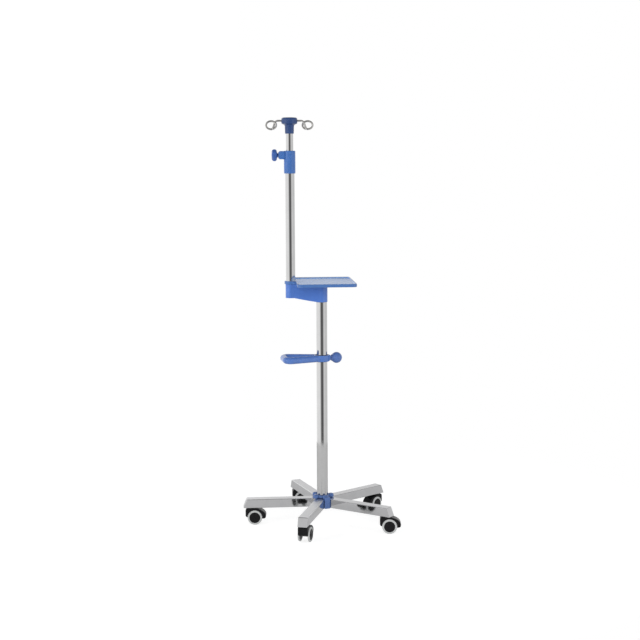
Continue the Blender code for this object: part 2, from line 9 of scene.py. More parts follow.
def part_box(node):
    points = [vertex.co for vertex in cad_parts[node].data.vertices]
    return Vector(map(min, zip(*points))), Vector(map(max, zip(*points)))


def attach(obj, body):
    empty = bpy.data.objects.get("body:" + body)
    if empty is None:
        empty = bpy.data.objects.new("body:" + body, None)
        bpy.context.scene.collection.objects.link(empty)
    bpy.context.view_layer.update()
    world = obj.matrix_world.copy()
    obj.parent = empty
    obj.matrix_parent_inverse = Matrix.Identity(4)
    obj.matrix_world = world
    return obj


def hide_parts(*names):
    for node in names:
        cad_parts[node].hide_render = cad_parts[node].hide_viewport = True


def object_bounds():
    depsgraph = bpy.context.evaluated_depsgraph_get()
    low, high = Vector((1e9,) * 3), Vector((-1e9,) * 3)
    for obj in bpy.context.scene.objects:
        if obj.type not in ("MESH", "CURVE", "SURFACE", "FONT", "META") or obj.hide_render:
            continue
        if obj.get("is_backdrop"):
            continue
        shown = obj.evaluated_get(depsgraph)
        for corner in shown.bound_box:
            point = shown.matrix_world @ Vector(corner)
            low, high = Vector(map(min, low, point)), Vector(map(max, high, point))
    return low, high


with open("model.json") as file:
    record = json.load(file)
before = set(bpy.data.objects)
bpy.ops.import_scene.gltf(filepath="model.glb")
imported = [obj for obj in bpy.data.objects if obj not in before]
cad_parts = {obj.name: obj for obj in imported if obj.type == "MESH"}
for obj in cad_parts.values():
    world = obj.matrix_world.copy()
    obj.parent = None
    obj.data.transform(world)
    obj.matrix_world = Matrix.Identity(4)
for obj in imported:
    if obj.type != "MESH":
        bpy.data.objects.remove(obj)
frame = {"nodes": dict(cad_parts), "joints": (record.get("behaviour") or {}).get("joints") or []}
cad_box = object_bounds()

# ----
# The studio. A pale floor runs out to white, with bright walls all round, a dim ceiling and a
# dim opening in the wall in front, which draws the dark stripe down every polished tube.

studio = bpy.context.scene
studio.view_settings.view_transform = "Standard"


def add_node(tree, kind, **settings):
    node = tree.nodes.new("ShaderNode" + kind)
    for setting, value in settings.items():
        setattr(node, setting, value)
    return node


def join_up(tree, *pairs):
    for source, target in pairs:
        tree.links.new(source, target)


def feed(tree, value, socket):
    """Sets a socket to a number, or joins another socket to it."""
    if isinstance(value, (int, float)):
        socket.default_value = value
    else:
        tree.links.new(value, socket)


def math_node(tree, operation, first, second=0.0):
    node = add_node(tree, "Math", operation=operation)
    feed(tree, first, node.inputs[0])
    feed(tree, second, node.inputs[1])
    return node.outputs["Value"]


def range_node(tree, value, low, high, to_low, to_high, smooth=True):
    node = add_node(tree, "MapRange")
    node.interpolation_type = "SMOOTHSTEP" if smooth else "LINEAR"
    tree.links.new(value, node.inputs["Value"])
    ends = {"From Min": low, "From Max": high, "To Min": to_low, "To Max": to_high}
    for label, end in ends.items():
        node.inputs[label].default_value = end
    return node.outputs["Result"]


def put_in_studio(name, data):
    thing = bpy.data.objects.new(name, data)
    studio.collection.objects.link(thing)
    return thing


def light_the_walls():
    opening_at, core, edge, dim = radians(2), radians(11), radians(50), 0.12
    header_low, header_high, header_glow = 0.08, 0.16, 0.8
    ceiling_low, ceiling_high, ceiling_glow = 0.30, 0.80, 0.18
    right_from, right_to, right_glow = radians(15), radians(80), 0.74
    back_from, back_to, back_glow = radians(110), radians(150), 1.2
    walls = bpy.data.worlds.new("studio_walls")
    walls.use_nodes = True
    tree = walls.node_tree
    tree.nodes.clear()
    out = add_node(tree, "OutputWorld")
    glow = add_node(tree, "Background")
    place = add_node(tree, "TexCoord")
    axes = add_node(tree, "SeparateXYZ")
    join_up(tree, (place.outputs["Generated"], axes.inputs["Vector"]))
    towards_front = math_node(tree, "MULTIPLY", axes.outputs["Y"], -1.0)
    turn = math_node(tree, "ARCTAN2", axes.outputs["X"], towards_front)
    off_centre = math_node(tree, "ABSOLUTE", math_node(tree, "SUBTRACT", turn, opening_at))
    opening = range_node(tree, off_centre, core, edge, dim, 1.0)
    # Above eye level the opening is closed by a bright header.
    header = range_node(tree, axes.outputs["Z"], header_low, header_high, 0.0, header_glow)
    opening = math_node(tree, "MAXIMUM", opening, header)
    # The right-hand wall is a little dimmer than the left-hand one.
    right_wall = range_node(tree, turn, right_from, right_to, 1.0, right_glow)
    opening = math_node(tree, "MULTIPLY", opening, right_wall)
    ceiling = range_node(tree, axes.outputs["Z"], ceiling_low, ceiling_high, 1.0, ceiling_glow)
    back_wall = range_node(tree, off_centre, back_from, back_to, 1.0, back_glow)
    room = math_node(tree, "MULTIPLY", math_node(tree, "MULTIPLY", opening, ceiling), back_wall)
    ray = add_node(tree, "LightPath")
    glow_strength = math_node(tree, "MAXIMUM", room, ray.outputs["Is Camera Ray"])
    join_up(
        tree,
        (glow_strength, glow.inputs["Strength"]),
        (glow.outputs["Background"], out.inputs["Surface"]),
    )
    glow.inputs["Color"].default_value = (1.0, 1.0, 1.0, 1.0)
    studio.world = walls


def hang_softbox(name, place, aim, size, watts):
    lamp = bpy.data.lights.new(name, "AREA")
    lamp.shape = "RECTANGLE"
    lamp.size, lamp.size_y = size
    lamp.energy = watts
    box = put_in_studio(name, lamp)
    box.location = place
    box.rotation_euler = (Vector(aim) - Vector(place)).to_track_quat("-Z", "Y").to_euler()
    box.visible_camera = False
    box.visible_glossy = False


def lay_floor():
    reach, glow, bleaching = 1.25, 0.34, 0.44
    sheet = bmesh.new()
    bmesh.ops.create_circle(sheet, cap_ends=True, segments=96, radius=reach)
    mesh = bpy.data.meshes.new("studio_floor")
    sheet.to_mesh(mesh)
    sheet.free()
    floor = put_in_studio("studio_floor", mesh)
    paint = bpy.data.materials.new("floor_paint")
    paint.use_nodes = True
    tree = paint.node_tree
    skin = tree.nodes["Principled BSDF"]
    skin.inputs["Roughness"].default_value = 0.8
    skin.inputs["Specular IOR Level"].default_value = 0.1
    skin.inputs["Emission Color"].default_value = (1.0, 1.0, 1.0, 1.0)
    skin.inputs["Emission Strength"].default_value = glow
    # Seen straight, the floor is bleached out to the studio's white.
    bleach = add_node(tree, "Emission")
    bleach.inputs["Strength"].default_value = bleaching
    both = add_node(tree, "AddShader")
    choice = add_node(tree, "MixShader")
    ray = add_node(tree, "LightPath")
    join_up(
        tree,
        (skin.outputs["BSDF"], both.inputs[0]),
        (bleach.outputs["Emission"], both.inputs[1]),
        (ray.outputs["Is Camera Ray"], choice.inputs["Fac"]),
        (skin.outputs["BSDF"], choice.inputs[1]),
        (both.outputs["Shader"], choice.inputs[2]),
        (choice.outputs["Shader"], tree.nodes["Material Output"].inputs["Surface"]),
    )
    cloud = add_node(tree, "TexNoise")
    cloud.inputs["Scale"].default_value = 3.0
    tone = add_node(tree, "ValToRGB")
    for stop, grey in zip(tone.color_ramp.elements, (0.43, 0.46)):
        stop.color = (grey, grey, grey, 1.0)
    join_up(
        tree,
        (cloud.outputs["Fac"], tone.inputs["Fac"]),
        (tone.outputs["Color"], skin.inputs["Base Color"]),
    )
    mesh.materials.append(paint)
    floor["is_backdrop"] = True


def set_camera():
    """Stands back from the stand, a little above the tray, and looks slightly down."""
    stand_point = (-0.2634, -4.0276, 1.1884)
    lens = bpy.data.cameras.new("camera")
    lens.sensor_width = 36.0
    lens.lens = 67.51
    camera = put_in_studio("camera", lens)
    yaw, tilt, roll = radians(-3.80), radians(90 - 6.871), radians(-0.294)
    turn = Matrix.Rotation(yaw, 4, "Z") @ Matrix.Rotation(tilt, 4, "X")
    turn = turn @ Matrix.Rotation(roll, 4, "Z")
    camera.matrix_world = Matrix.Translation(stand_point) @ turn
    studio.camera = camera


light_the_walls()
hang_softbox("softbox_left", (-2.6, -1.3, 1.2), (0, 0, 0.7), (1.1, 1.7), 26)
hang_softbox("softbox_right", (2.5, -1.9, 1.3), (0, 0, 0.8), (1.0, 1.7), 26)
hang_softbox("front_fill", (-0.4, -4.6, 1.6), (0, 0, 0.8), (2.0, 1.6), 60)
lay_floor()
set_camera()

# ----
# Base hub and what holds it. The hub is a polished aluminium casting, and a zinc-plated bolt
# pulls the tube's steel plug down on it. All of it is hidden under the blue cover.


def effect_group(name, inputs):
    """A group that gives a colour, a roughness and a height.

    Returns the group, what it is given, what it gives and the place on the piece.
    """
    group = bpy.data.node_groups.new(name, "ShaderNodeTree")
    for label, start in inputs.items():
        kind = {4: "Color", 3: "Vector"}[len(start)] if isinstance(start, tuple) else "Float"
        kind = f"NodeSocket{kind}"
        socket = group.interface.new_socket(label, in_out="INPUT", socket_type=kind)
        socket.default_value = start
    for label, kind in (("Colour", "Color"), ("Roughness", "Float"), ("Height", "Float")):
        kind = f"NodeSocket{kind}"
        group.interface.new_socket(label, in_out="OUTPUT", socket_type=kind)
    given, result = group.nodes.new("NodeGroupInput"), group.nodes.new("NodeGroupOutput")
    place = add_node(group, "TexCoord").outputs["Object"]
    return group, given.outputs, result.inputs, place


def give_out(group, result, colour, roughness, height):
    for label, source in (("Colour", colour), ("Roughness", roughness), ("Height", height)):
        group.links.new(source, result[label])


def noise_on(tree, coordinates, scale, detail=3.0, stretch=None):
    """A Noise texture in metres, stretched along an axis where stretch is given."""
    if stretch:
        map_node = add_node(tree, "Mapping")
        map_node.inputs["Scale"].default_value = stretch
        tree.links.new(coordinates, map_node.inputs["Vector"])
        coordinates = map_node.outputs["Vector"]
    noise = add_node(tree, "TexNoise")
    noise.inputs["Detail"].default_value = detail
    feed(tree, scale, noise.inputs["Scale"])
    tree.links.new(coordinates, noise.inputs["Vector"])
    return noise.outputs["Fac"]


def tinted(tree, colour, factor, dark, light):
    """The colour, darkened or lightened with a factor that changes over the surface."""
    gain = range_node(tree, factor, 0.3, 0.7, dark, light, smooth=False)
    scale = add_node(tree, "VectorMath", operation="SCALE")
    join_up(tree, (colour, scale.inputs[0]), (gain, scale.inputs["Scale"]))
    return scale.outputs["Vector"]


def make_polish():
    """Polished metal: a faint haze, hairlines along the work, and a few clouded patches."""
    group, given, result, place = effect_group(
        "polish",
        {
            "Colour": (0.8, 0.8, 0.8, 1.0),
            "Roughness": 0.08,
            "Haze": 0.05,
            "Along": (1.0, 1.0, 0.02),
        },
    )
    along = add_node(group, "VectorMath", operation="MULTIPLY")
    join_up(group, (place, along.inputs[0]), (given["Along"], along.inputs[1]))
    hairlines = noise_on(group, along.outputs["Vector"], 2200.0, 2.0)
    cloud = noise_on(group, place, 38.0, 4.0)
    streaks = noise_on(group, along.outputs["Vector"], 420.0, 1.0)
    marks = range_node(group, streaks, 0.62, 0.74, 0, 1)
    haze = math_node(group, "MULTIPLY", cloud, given["Haze"])
    rough = math_node(group, "ADD", given["Roughness"], haze)
    rough = math_node(group, "ADD", rough, math_node(group, "MULTIPLY", marks, 0.03))
    fine = math_node(group, "MULTIPLY", hairlines, 0.35)
    height = math_node(group, "ADD", fine, math_node(group, "MULTIPLY", cloud, 0.3))
    colour = tinted(group, given["Colour"], cloud, 0.965, 1.02)
    give_out(group, result, colour, rough, height)
    return group


polish = make_polish()


def new_finish(name, effect, values, relief, fixed):
    """A material with one effect group in front of its Principled shader, and a bump from it."""
    finish = bpy.data.materials.new(name)
    finish.use_nodes = True
    tree = finish.node_tree
    skin = tree.nodes["Principled BSDF"]
    for label, value in fixed.items():
        skin.inputs[label].default_value = value
    work = add_node(tree, "Group", node_tree=effect)
    for label, value in values.items():
        work.inputs[label].default_value = value
    bump = add_node(tree, "Bump")
    bump.inputs["Strength"].default_value = 1.0
    bump.inputs["Distance"].default_value = relief
    join_up(
        tree,
        (work.outputs["Colour"], skin.inputs["Base Color"]),
        (work.outputs["Roughness"], skin.inputs["Roughness"]),
        (work.outputs["Height"], bump.inputs["Height"]),
        (bump.outputs["Normal"], skin.inputs["Normal"]),
    )
    return finish


def polished_metal(name, colour, roughness, haze, along, relief=0.0000015):
    values = {"Colour": (*colour, 1.0), "Roughness": roughness, "Haze": haze, "Along": along}
    return new_finish(name, polish, values, relief, {"Metallic": 1.0})


def coat_nodes(finish, slot, *names):
    """Gives CAD nodes that stay a better finish."""
    for name in names:
        node = frame["nodes"][name]
        node.data.materials.clear()
        node.data.materials.append(finish)


hub_metal = polished_metal("hub_metal", (0.60, 0.60, 0.60), 0.16, 0.10, (1, 1, 1))
bolt_zinc = polished_metal("bolt_zinc", (0.45, 0.45, 0.46), 0.28, 0.16, (0.05, 1, 1))
coat_nodes(hub_metal, "polished_aluminium", "base_hub")
coat_nodes(bolt_zinc, "steel", "tube_plug", "hub_bolt")

# ----
# Legs. Five bars of aluminium, 33 mm wide and 30 mm deep, polished on their sides and brushed
# on top, with a tip cut back at a slant. Each is let into the hub and holds a caster's stem.


def along_axis(node):
    """The middle of a CAD node, in plan."""
    low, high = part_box(node)
    return Vector(((low.x + high.x) / 2, (low.y + high.y) / 2, 0.0))


def joint(name):
    return next(j for j in frame["joints"] if j["name"] == name)


def keep_flats_flat(solid, sharp):
    """Smooth shading that bends only over the rounded edges, and breaks at the sharp ones."""
    solid.data.shade_smooth()
    solid.data.set_sharp_from_angle(angle=radians(sharp))
    shading = solid.modifiers.new("flat_faces", "WEIGHTED_NORMAL")
    shading.keep_sharp = True
    shading.weight = 90


def solid_from(name, work, sharp=35):
    """Closes off a bmesh as an object, shaded smooth except at its sharp edges."""
    bmesh.ops.recalc_face_normals(work, faces=work.faces)
    mesh = bpy.data.meshes.new(name)
    work.to_mesh(mesh)
    work.free()
    solid = put_in_studio(name, mesh)
    keep_flats_flat(solid, sharp)
    return solid


def ease_edges(work, edges, width, rounds):
    shape = {"profile": 0.5, "affect": "EDGES", "clamp_overlap": True}
    bmesh.ops.bevel(work, geom=edges, offset=width, segments=rounds, **shape)


def sharp_edges(work, over=30):
    bmesh.ops.recalc_face_normals(work, faces=work.faces)
    return [e for e in work.edges if e.is_manifold and e.calc_face_angle() > radians(over)]


def slab(outline, low, high, along="Z"):
    """A bmesh of a flat outline given depth along Z, or an XZ outline given depth along Y."""
    work = bmesh.new()
    ends = []
    for depth in (low, high):
        place = (lambda a, b: (a, b, depth)) if along == "Z" else (lambda a, b: (a, depth, b))
        ends.append([work.verts.new(place(a, b)) for a, b in outline])
    work.faces.new(ends[0])
    work.faces.new(reversed(ends[1]))
    count = len(outline)
    for i in range(count):
        j = (i + 1) % count
        work.faces.new((ends[0][i], ends[0][j], ends[1][j], ends[1][i]))
    return work


def finish_piece(piece, finish, body, slot, *nodes):
    """Gives a piece its finish, sets it on its body and hides the CAD nodes it stands for."""
    piece.data.materials.append(finish)
    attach(piece, body)
    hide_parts(*nodes)


pole_foot = along_axis("lower_tube")
leg_metal = polished_metal("leg_metal", (0.66, 0.66, 0.67), 0.045, 0.03, (0.02, 1, 1))
leg_deck = polished_metal("leg_deck", (0.68, 0.68, 0.69), 0.26, 0.12, (0.01, 1, 1), 0.000006)
leg_root, leg_low, leg_top, leg_half_width = 0.020, 0.058, 0.088, 0.0165
leg_tip_low, leg_tip_top, leg_edge = 0.2726, 0.261, 0.0016
upright = 0.99


def make_leg(number):
    outline = [(leg_root, leg_low), (leg_tip_low, leg_low), (leg_tip_top, leg_top)]
    outline.append((leg_root, leg_top))
    work = slab(outline, -leg_half_width, leg_half_width, "Y")
    ease_edges(work, sharp_edges(work), leg_edge, 4)
    leg = solid_from(f"leg_bar_{number}", work, 40)
    stem = Vector(joint(f"caster_{number}_swivel")["pos_m"]) - pole_foot
    leg.location = pole_foot
    leg.rotation_euler.z = atan2(stem.y, stem.x)
    finish_piece(leg, leg_metal, "stand", "polished_aluminium", f"leg_{number}")
    leg.data.materials.append(leg_deck)
    for face in leg.data.polygons:
        if face.normal.z > upright:
            face.material_index = 1


for number in range(1, 6):
    make_leg(number)

# ----
# Hub cover. A glossy blue moulding round the foot of the tube, with a rounded lobe over each
# gap between two legs. A wedge under one of them runs down between its legs to their underside.


def turned(profile, facets=64, ring=False):
    """A bmesh of a shape turned about Z, from (radius, height) points."""
    work = bmesh.new()
    rows = []
    for radius, height in profile:
        if radius < 1e-7:
            rows.append([work.verts.new((0, 0, height))])
            continue
        turns = [tau * i / facets for i in range(facets)]
        rows.append([work.verts.new((radius * cos(t), radius * sin(t), height)) for t in turns])
    pairs = list(zip(rows, rows[1:]))
    if ring:
        pairs.append((rows[-1], rows[0]))
    for upper, lower in pairs:
        for i in range(facets):
            j = (i + 1) % facets
            if len(upper) == 1:
                work.faces.new((upper[0], lower[i], lower[j]))
            elif len(lower) == 1:
                work.faces.new((upper[i], lower[0], upper[j]))
            else:
                work.faces.new((upper[i], lower[i], lower[j], upper[j]))
    return work


def turned_ring(outer, inner, low, high, ease, steps, facets):
    """A bmesh of a plain ring about Z with its corners eased."""
    profile = [(outer, high), (outer, low), (inner, low), (inner, high)]
    return turned(eased(profile, ease, steps, closed=True), facets, ring=True)


def eased(points, ease, steps=4, closed=False):
    """The same outline with each corner rounded off."""
    points = [Vector(p) for p in points]
    rounded = []
    last = len(points) - 1
    for i, corner in enumerate(points):
        if not closed and i in (0, last):
            rounded.append(tuple(corner))
            continue
        before, after = points[i - 1] - corner, points[(i + 1) % len(points)] - corner
        reach = min(ease, before.length * 0.48, after.length * 0.48)
        start = corner + before.normalized() * reach
        end = corner + after.normalized() * reach
        for k in range(steps + 1):
            t = k / steps
            point = start * (1 - t) ** 2 + corner * 2 * t * (1 - t) + end * t * t
            rounded.append(tuple(point))
    return rounded


def add_work(work, other, place=Matrix.Identity(4)):
    """Adds another bmesh to this one, moved to its place."""
    other.transform(place)
    mesh = bpy.data.meshes.new("added")
    other.to_mesh(mesh)
    other.free()
    work.from_mesh(mesh)
    bpy.data.meshes.remove(mesh)


def make_moulded_skin():
    """Moulded plastic: flow marks in the tone, fine orange peel and light rubbing."""
    group, given, result, place = effect_group(
        "moulded_skin",
        {
            "Colour": (0.05, 0.15, 0.4, 1.0),
            "Roughness": 0.25,
            "Flow": 24.0,
            "Rub": 0.12,
        },
    )
    flow = noise_on(group, place, given["Flow"], 4.0)
    peel = noise_on(group, place, 650.0, 2.0)
    swirl = noise_on(group, place, 160.0, 3.0, stretch=(1.0, 1.0, 0.15))
    rubbed = range_node(group, swirl, 0.60, 0.74, 0.0, 1.0)
    rub = math_node(group, "MULTIPLY", rubbed, given["Rub"])
    waver = range_node(group, flow, 0.3, 0.7, -0.04, 0.05, smooth=False)
    rough = math_node(group, "ADD", given["Roughness"], waver)
    rough = math_node(group, "ADD", rough, rub)
    height = math_node(group, "ADD", math_node(group, "MULTIPLY", peel, 0.5), flow)
    colour = tinted(group, given["Colour"], flow, 0.93, 1.06)
    give_out(group, result, colour, rough, height)
    return group


moulded_skin = make_moulded_skin()


def moulded_plastic(name, colour, roughness, flow=24.0, rub=0.12, relief=0.000014):
    values = {"Colour": (*colour, 1.0), "Roughness": roughness, "Flow": flow, "Rub": rub}
    return new_finish(name, moulded_skin, values, relief, {"IOR": 1.5, "Metallic": 0.0})


def make_cover():
    tube_room, skirt, low, deck, lobe_top = 0.0193, 0.0255, 0.0883, 0.0975, 0.1008
    lobe_circle, lobe_radius, post_low, post_angle = 0.0285, 0.0104, 0.0575, 288
    post_side = [(0.0312, 0.0014), (0.0440, 0.0110), (0.0462, 0.0098), (0.0470, 0.0060)]
    profile = [(tube_room, low), (skirt, low), (skirt, deck), (tube_room, deck + 0.0012)]
    work = turned(eased(profile, 0.0022, closed=True), 96, ring=True)
    for angle in range(0, 360, 72):
        place = Matrix.Rotation(radians(angle), 4, "Z")
        lobe = [(0, lobe_top), (lobe_radius - 0.0034, lobe_top)]
        lobe += [(lobe_radius, lobe_top - 0.0040), (lobe_radius, low), (0, low)]
        lobe = turned(eased(lobe, 0.0030), 40)
        add_work(work, lobe, place @ Matrix.Translation((lobe_circle, 0, 0)))
    outline = [(x, -y) for x, y in post_side] + post_side[::-1]
    post = slab(eased(outline, 0.0024, 4, closed=True), post_low, deck - 0.0004)
    ease_edges(post, sharp_edges(post, 60), 0.0018, 4)
    add_work(work, post, Matrix.Rotation(radians(post_angle), 4, "Z"))
    cover = solid_from("hub_cover_moulding", work, 50)
    cover.location = pole_foot
    return cover


cover_blue = moulded_plastic("cover_blue", (0.082, 0.155, 0.38), 0.28)
finish_piece(make_cover(), cover_blue, "stand", "blue_plastic", "hub_cover")

# ----
# Caster stems and axles. Zinc-plated steel, turned: each stem is pushed up into the end of its
# leg, with a flange between the leg and the hood, and each axle is pressed through its hood.

for number in range(1, 6):
    coat_nodes(bolt_zinc, "steel", f"caster_{number}_stem", f"caster_{number}_axle")

# ----
# Caster hoods. A glossy black moulding with a solid web between the two wheels and a mudguard
# over the top of each. A round boss carries the stem, and a moulded line follows the arch.

hood_width, web_width, hood_front, hood_rear = 0.034, 0.028, -0.0175, 0.0527
hood_top, skirt_low, wheel_room, stem_room = 0.0555, 0.030, 0.0265, 0.0053
wheel_trail, wheel_radius = 0.0145, 0.025


def arc_points(centre, across, along, start, end, steps):
    turns = [radians(start + (end - start) * i / steps) for i in range(steps + 1)]
    return [(centre[0] + across * cos(t), centre[1] + along * sin(t)) for t in turns]


def settled(name, piece, sharp):
    """The piece with its modifiers applied to its mesh, and its flat faces shaded flat."""
    shading = piece.modifiers.get("flat_faces")
    if shading:
        piece.modifiers.remove(shading)
    bpy.context.view_layer.update()
    graph = bpy.context.evaluated_depsgraph_get()
    mesh = bpy.data.meshes.new_from_object(piece.evaluated_get(graph))
    bpy.data.objects.remove(piece)
    done = put_in_studio(name, mesh)
    keep_flats_flat(done, sharp)
    return done


def carved(name, piece, rooms, added=(), sharp=35, overlapping=False, soften=0.0):
    """The piece with others joined to it, rooms cut out of it and its new edges softened."""
    for operation, others in (("UNION", added), ("DIFFERENCE", rooms)):
        for other in others:
            change = piece.modifiers.new(operation.lower(), "BOOLEAN")
            change.operation, change.solver, change.object = operation, "EXACT", other
            change.use_self = overlapping
    if soften:
        soft = piece.modifiers.new("soft", "BEVEL")
        soft.width, soft.segments = soften, 2
        soft.limit_method, soft.angle_limit = "ANGLE", radians(50)
    piece = settled(name, piece, sharp)
    for other in (*added, *rooms):
        bpy.data.objects.remove(other)
    return piece


def turned_block(radius, top, bottom, facets):
    """A bmesh of a plain round block about Z, used to cut a room."""
    return turned([(0, top), (radius, top), (radius, bottom), (0, bottom)], facets)


def hood_side():
    corner, crown_x = 0.0065, 0.012
    outline = [(hood_front, skirt_low)]
    outline += arc_points((hood_front + corner, hood_top - corner), corner, corner, 180, 90, 8)
    sweep = (hood_rear - crown_x, hood_top - skirt_low)
    outline += arc_points((crown_x, skirt_low), *sweep, 90, 0, 28)[1:]
    outline += [
        (hood_rear - 0.0004, skirt_low - 0.0030),
        (hood_rear - 0.0016, skirt_low - 0.0063),
        (hood_rear - 0.0042, skirt_low - 0.0085),
        (hood_rear - 0.008, skirt_low - 0.0090),
    ]
    outline += arc_points((wheel_trail, wheel_radius), 0.0085, 0.0085, 300, 240, 6)
    return outline + [(hood_front + 0.003, skirt_low - 0.0035)]


def make_hood_mesh():
    work = slab(hood_side(), -hood_width / 2, hood_width / 2, "Y")
    rims = [e for e in sharp_edges(work, 60) if abs(e.verts[0].co.y - e.verts[1].co.y) < 1e-6]
    ease_edges(work, rims, 0.0022, 4)
    hood = solid_from("hood", work)
    rooms = []
    lay_over = Matrix.Rotation(pi / 2, 4, "X")
    for side in (1, -1):
        room = turned_block(wheel_room, side * 0.03, side * web_width / 2, 72)
        room.transform(Matrix.Translation((wheel_trail, 0, wheel_radius)) @ lay_over)
        rooms.append(solid_from(f"wheel_room_{side}", room))
    rooms.append(solid_from("stem_room", turned_block(stem_room, 0.07, 0.0377, 32)))
    hood = carved("hood", hood, rooms, soften=0.0005)
    work = bmesh.new()
    work.from_mesh(hood.data)
    # The moulded line round each side of the arch, and the boss round the stem.
    line = arc_points((0.012, skirt_low), 0.0365, 0.0212, 86, 8, 30)
    sunk, raised = hood_width / 2 - 0.0004, hood_width / 2 + 0.0003
    for side in (1, -1):
        add_work(work, slab_line(line, 0.0005, side * sunk, side * raised))
    boss_bore, boss_top, boss_foot = 0.0056, hood_top + 0.0001, hood_top - 0.002
    boss = eased([(boss_bore, boss_top), (0.0095, boss_top), (0.0098, boss_foot)], 0.0008)
    add_work(work, turned(boss + [(boss_bore, boss_foot)], 40, ring=True))
    mesh = hood.data
    work.to_mesh(mesh)
    work.free()
    bpy.data.objects.remove(hood)
    return mesh


def slab_line(line, half, low, high):
    """A narrow raised line that follows points in XZ, between two depths along Y."""
    outer, inner = [], []
    for i, (x, z) in enumerate(line):
        before, after = line[max(i - 1, 0)], line[min(i + 1, len(line) - 1)]
        run = Vector((after[0] - before[0], after[1] - before[1])).normalized()
        outer.append((x - run.y * half, z + run.x * half))
        inner.append((x + run.y * half, z - run.x * half))
    return slab(outer + inner[::-1], min(low, high), max(low, high), "Y")


def make_dust():
    """Black and grey running gear: moulded skin with floor dust caught on it and scuffs."""
    group, given, result, place = effect_group(
        "floor_dust",
        {
            "Colour": (0.012, 0.012, 0.013, 1.0),
            "Dust Colour": (0.30, 0.29, 0.27, 1.0),
            "Roughness": 0.25,
            "Dust": 0.10,
        },
    )
    patches = noise_on(group, place, 90.0, 5.0)
    specks = noise_on(group, place, 1400.0, 2.0)
    caught = range_node(group, patches, 0.48, 0.78, 0.0, 1.0)
    speckled = range_node(group, specks, 0.45, 0.75, 0.3, 1.0)
    mask = math_node(group, "MULTIPLY", caught, speckled)
    mask = math_node(group, "MULTIPLY", mask, given["Dust"])
    mix = add_node(group, "Mix", data_type="RGBA")
    toned = tinted(group, given["Colour"], patches, 0.9, 1.1)
    dulled = math_node(group, "MULTIPLY", mask, 2.0)
    rough = math_node(group, "ADD", given["Roughness"], dulled)
    # The Mix node's sockets for colours have no names of their own, only places.
    clean, dusty, mixed = mix.inputs[6], mix.inputs[7], mix.outputs[2]
    join_up(
        group,
        (mask, mix.inputs["Factor"]),
        (toned, clean),
        (given["Dust Colour"], dusty),
    )
    give_out(group, result, mixed, rough, specks)
    return group


floor_dust = make_dust()


def running_gear(name, colour, roughness, dust, relief, dust_colour=(0.30, 0.29, 0.27)):
    values = {"Colour": (*colour, 1.0), "Roughness": roughness, "Dust": dust}
    values["Dust Colour"] = (*dust_colour, 1.0)
    fixed = {"IOR": 1.5, "Specular IOR Level": 0.16, "Metallic": 0.0}
    return new_finish(name, floor_dust, values, relief, fixed)


def stand_at(piece, place, turn):
    piece.location = place
    piece.rotation_euler = (0.0, 0.0, turn)


def stand_copy(name, mesh, place, turn, sharp):
    """A copy of a shape that the stand has several of, set in its place."""
    piece = put_in_studio(name, mesh.copy())
    keep_flats_flat(piece, sharp)
    stand_at(piece, place, turn)
    return piece


def caster_turn(number):
    """The direction in which a caster's wheels trail behind its stem."""
    axis = joint(f"caster_{number}_roll_a")["axis"]
    return atan2(-axis[0], axis[1])


hood_black = running_gear("hood_black", (0.007, 0.007, 0.008), 0.20, 0.02, 0.000006)
hood_mesh = make_hood_mesh()
for number in range(1, 6):
    caster, body = f"caster_{number}", f"caster_{number}_swivel"
    stem_x, stem_y, _ = joint(body)["pos_m"]
    turn = caster_turn(number)
    hood = stand_copy(f"caster_hood_{number}", hood_mesh, (stem_x, stem_y, 0.0), turn, 35)
    finish_piece(hood, hood_black, body, "black_plastic", f"{caster}_hood")

# ----
# Caster wheels. Black plastic centres with a dished cap, a raised ring and a small middle
# boss on the outer face. Each is turned on its axle, and the tyre is moulded round its rim.

wheel_core, wheel_inner, wheel_outer = 0.0185, 0.0145, 0.0210


def wheel_shape(name, profile, facets, ring=False):
    """The mesh of a piece that is turned about the axle."""
    work = turned(profile, facets, ring)
    work.transform(Matrix.Rotation(-pi / 2, 4, "X"))
    shape = solid_from(name, work, 40)
    mesh = shape.data
    bpy.data.objects.remove(shape)
    return mesh


def make_wheel_mesh():
    face = wheel_outer
    profile = [
        (0, face + 0.0004),
        (0.0030, face + 0.0004),
        (0.0040, face - 0.0007),
        (0.0052, face - 0.0009),
        (0.0090, face - 0.0010),
        (0.0099, face - 0.0002),
        (0.0113, face),
        (0.0122, face - 0.0009),
        (0.0152, face - 0.0009),
        (0.0163, face - 0.0003),
        (0.0177, face - 0.0004),
        (wheel_core, face - 0.0020),
    ]
    bore, bore_end = 0.0034, 0.0188
    back = [(wheel_core, wheel_inner), (bore, wheel_inner), (bore, bore_end), (0, bore_end)]
    return wheel_shape("wheel", eased(profile, 0.0005, 3) + back, 72)


def make_tyre_mesh():
    seat, tread, outer = wheel_core + 0.0002, wheel_radius, wheel_outer - 0.0010
    profile = [
        (seat, outer),
        (tread - 0.0034, outer + 0.0003),
        (tread - 0.0014, outer - 0.0002),
        (tread - 0.0002, outer - 0.0014),
        (tread, outer - 0.0024),
        (tread, wheel_inner + 0.0020),
        (tread - 0.0008, wheel_inner + 0.0004),
        (tread - 0.0020, wheel_inner),
        (seat, wheel_inner),
    ]
    return wheel_shape("tyre", eased(profile, 0.0008, 3), 96, ring=True)


